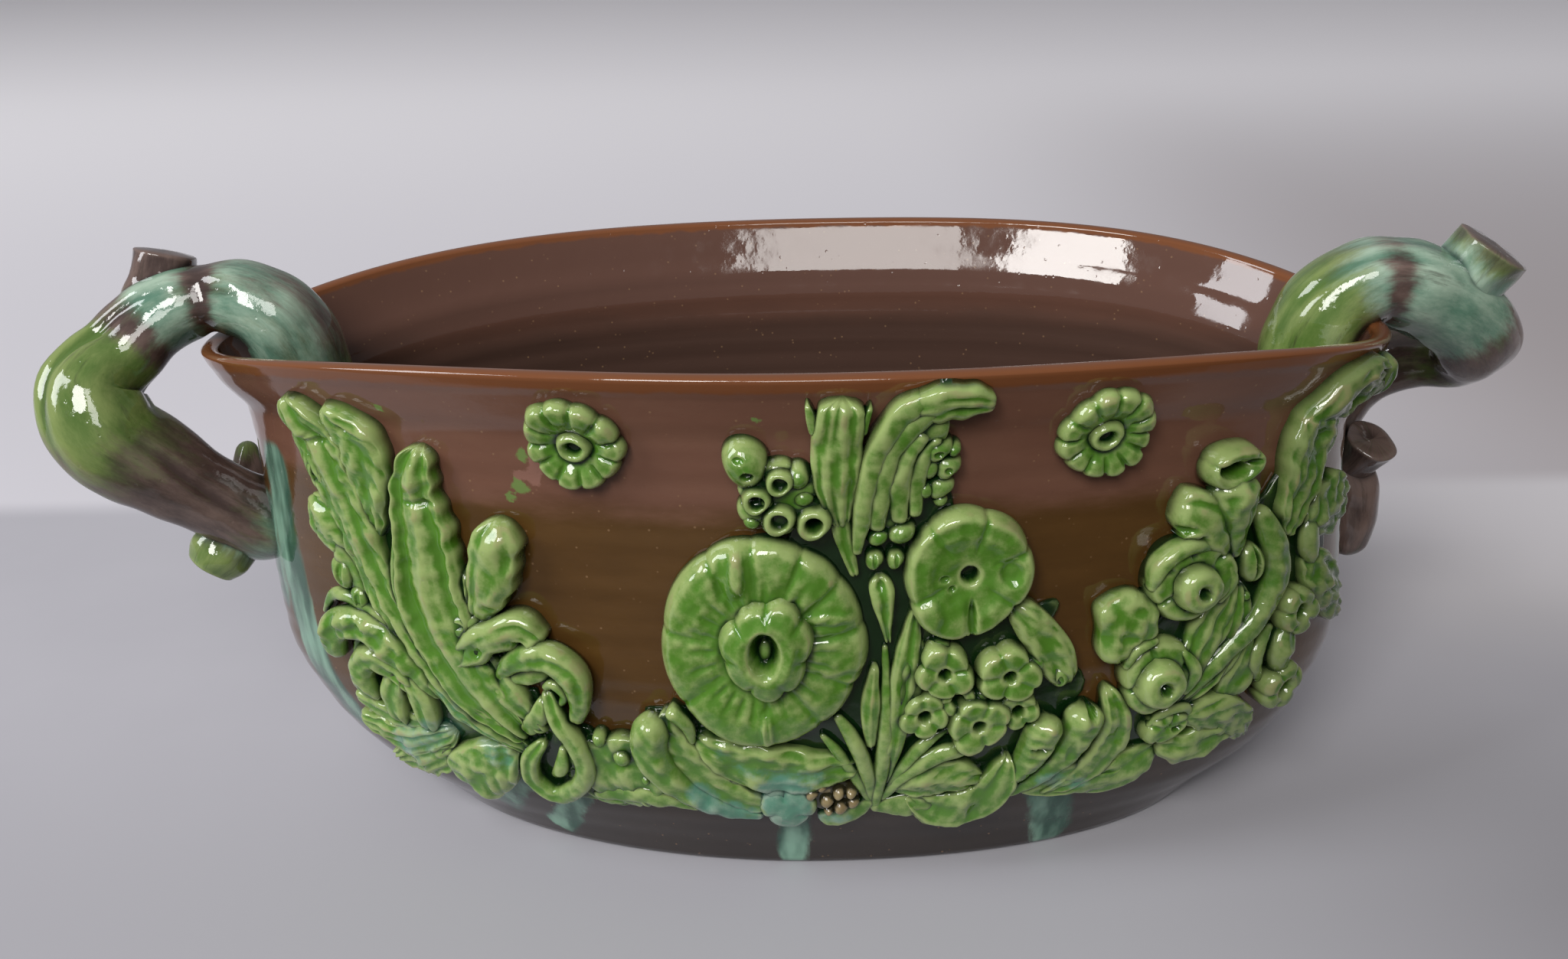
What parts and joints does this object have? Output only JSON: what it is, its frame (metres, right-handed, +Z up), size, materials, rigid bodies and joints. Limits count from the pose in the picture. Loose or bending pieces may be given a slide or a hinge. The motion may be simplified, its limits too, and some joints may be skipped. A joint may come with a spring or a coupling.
{
  "type": "jardiniere",
  "caption": "Oval glazed earthenware jardiniere with two branch handles reaching over its ends and a moulded garland of flowers and leaves on its front.",
  "frame": {"origin": "middle of the flat foot, on the surface that the jardiniere stands on", "axes": "+X along the bowl towards the right handle seen from the front, +Z up, the garland faces -Y"},
  "size_m": [0.464, 0.1985, 0.1802],
  "materials": {
    "brown_glaze": "glossy chocolate-brown glaze",
    "green_glaze": "glossy green glaze, pale on high spots and dark in the recesses",
    "branch_glaze": "glossy green and teal glaze mottled with purple-brown"
  },
  "bodies": {
    "root": {"bowl": "brown_glaze", "left_handle_branch": "branch_glaze", "left_handle_top_stub": "branch_glaze", "left_handle_thorn": "branch_glaze", "left_handle_knob": "branch_glaze", "right_handle_branch": "branch_glaze", "right_handle_top_stub": "branch_glaze", "right_handle_thorn": "branch_glaze", "right_handle_knob": "branch_glaze", "big_flower_cup": "green_glaze", "big_flower": "green_glaze", "round_flower": "green_glaze", "berry_cluster": "green_glaze", "tulip_bud": "green_glaze", "tall_leaf": "green_glaze", "bead_sprig": "green_glaze", "ball_pairs": "green_glaze", "floret_cluster": "green_glaze", "side_leaf": "green_glaze", "notch_bud": "green_glaze", "hollow_bud": "green_glaze", "cowl_leaf": "green_glaze", "seeds": "green_glaze", "low_leaves": "green_glaze", "middle_stems": "green_glaze", "under_leaf": "green_glaze", "garland_knot": "green_glaze", "acorn_bud": "green_glaze", "upper_curl": "green_glaze", "middle_curl": "green_glaze", "lower_curl": "green_glaze", "calla_leaf": "green_glaze", "long_leaf": "green_glaze", "left_leaflets": "green_glaze", "curled_leaves": "green_glaze", "twin_leaves": "green_glaze", "ball_leaf": "green_glaze", "left_ruffle": "green_glaze", "left_band": "green_glaze", "upper_rose": "green_glaze", "lower_rose": "green_glaze", "trumpets": "green_glaze", "upper_rose_collar": "green_glaze", "lower_rose_collar": "green_glaze", "lobed_leaf": "green_glaze", "hooked_stem": "green_glaze", "side_florets": "green_glaze", "rim_leaf": "green_glaze", "end_leaves": "green_glaze", "fan_leaf": "green_glaze", "small_rosette": "green_glaze", "long_low_leaf": "green_glaze", "right_ruffle": "green_glaze", "right_band": "green_glaze", "middle_ground": "green_glaze", "left_ground": "green_glaze", "right_ground": "green_glaze", "left_rosette": "green_glaze", "right_rosette": "green_glaze"}
  },
  "joints": []
}
